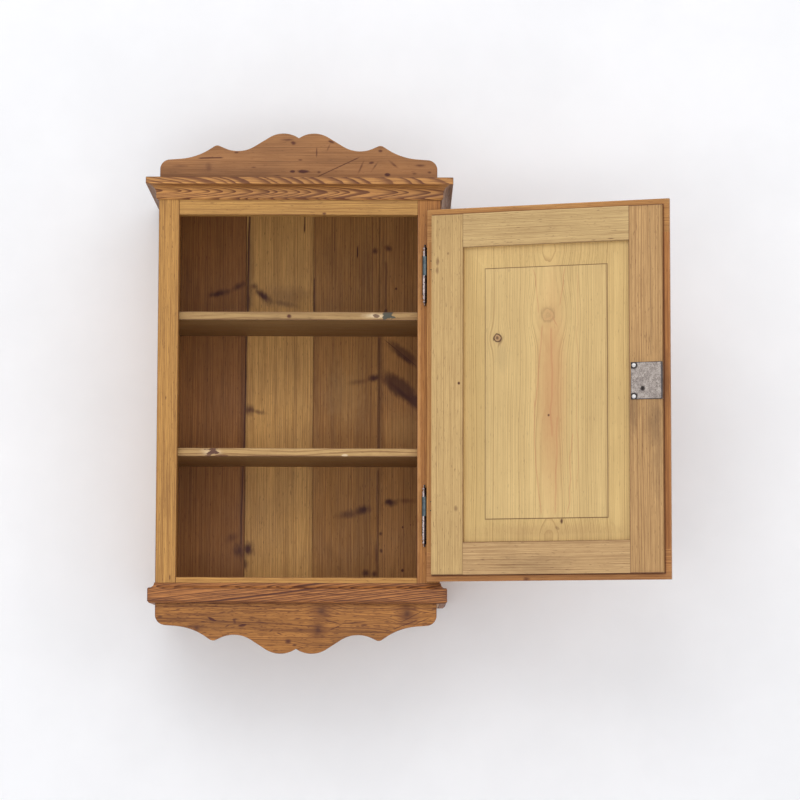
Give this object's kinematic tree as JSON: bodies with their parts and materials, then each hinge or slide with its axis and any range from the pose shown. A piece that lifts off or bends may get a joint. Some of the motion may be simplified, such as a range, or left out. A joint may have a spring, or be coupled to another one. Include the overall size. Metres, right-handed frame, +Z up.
{
  "type": "hanging wall cabinet",
  "caption": "Wall-hung pine cupboard with a scalloped crest and apron, a coved cornice, open shelves and one lipped panelled door on lift-off hinges with a box lock.",
  "frame": {"origin": "on the wall plane, midway between the two hanger holes", "axes": "+X to the viewer's right, +Y back into the wall, +Z up; the door stands open at rest"},
  "size_m": [0.8841, 0.4187, 0.8916],
  "materials": {
    "pine_side": "waxed old pine",
    "pine_inside": "dry old pine",
    "pine_back": "dark old pine boards",
    "pine_frame": "waxed old pine",
    "pine_moulding": "waxed pine with strong figure",
    "pine_ornament": "waxed old pine",
    "pine_door": "waxed pine",
    "pine_panel": "pale waxed pine",
    "hinge_iron": "worn bare iron",
    "dark_iron": "aged iron",
    "lock_iron": "mottled bare steel",
    "old_brass": "tarnished"
  },
  "bodies": {
    "cabinet": {"apron_blocks": "pine_ornament", "apron_board": "pine_ornament", "back_board_1": "pine_back", "back_board_2": "pine_back", "back_board_3": "pine_back", "back_board_4": "pine_back", "back_nails": "dark_iron", "base_moulding_front": "pine_moulding", "base_moulding_left": "pine_moulding", "base_moulding_right": "pine_moulding", "bottom_board": "pine_inside", "cornice_front": "pine_moulding", "cornice_left": "pine_moulding", "cornice_right": "pine_moulding", "crest_blocks": "pine_ornament", "crest_board": "pine_ornament", "face_rail_bottom": "pine_frame", "face_rail_top": "pine_frame", "face_stile_left": "pine_frame", "face_stile_right": "pine_frame", "hanger_left": "dark_iron", "hanger_right": "dark_iron", "hanger_screws": "dark_iron", "hinge_frame_nails": "dark_iron", "hinge_lower_frame_leaf": "hinge_iron", "hinge_lower_pin": "hinge_iron", "hinge_upper_frame_leaf": "hinge_iron", "hinge_upper_pin": "hinge_iron", "shelf_lower": "pine_inside", "shelf_upper": "pine_inside", "side_left": "pine_side", "side_right": "pine_side", "top_board": "pine_inside"},
    "door": {"door_stile_hinge": "pine_door", "door_stile_lock": "pine_door", "door_rail_top": "pine_door", "door_rail_bottom": "pine_door", "door_panel": "pine_panel", "hinge_upper_door_leaf": "hinge_iron", "hinge_lower_door_leaf": "hinge_iron", "hinge_door_nails": "dark_iron", "lock_case": "lock_iron", "lock_cover": "lock_iron", "lock_drill_pin": "dark_iron", "lock_screws": "dark_iron", "bolt_spring": "lock_iron", "escutcheon": "old_brass", "escutcheon_pins": "old_brass"},
    "bolt": {"lock_bolt": "lock_iron"},
    "key": {"key": "dark_iron"}
  },
  "joints": [
    {"name": "door_hinge", "type": "hinge", "parent": "cabinet", "child": "door", "pos_m": [0.2145, -0.2743, -0.39], "axis": [0, 0, 1], "range_deg": [-162, 18]},
    {"name": "key_turn", "type": "hinge", "parent": "door", "child": "key", "pos_m": [0.57923, -0.39281, -0.391], "axis": [0.309, 0.9511, 0], "range_deg": [0, 360]},
    {"name": "bolt_slide", "type": "slide", "parent": "door", "child": "bolt", "axis": [0.9511, -0.309, 0], "range_m": [0, 0.011]}
  ],
  "couplings": [
    {"joint": "bolt_slide", "follows": "key_turn", "m_per_rad": 0.00175}
  ]
}
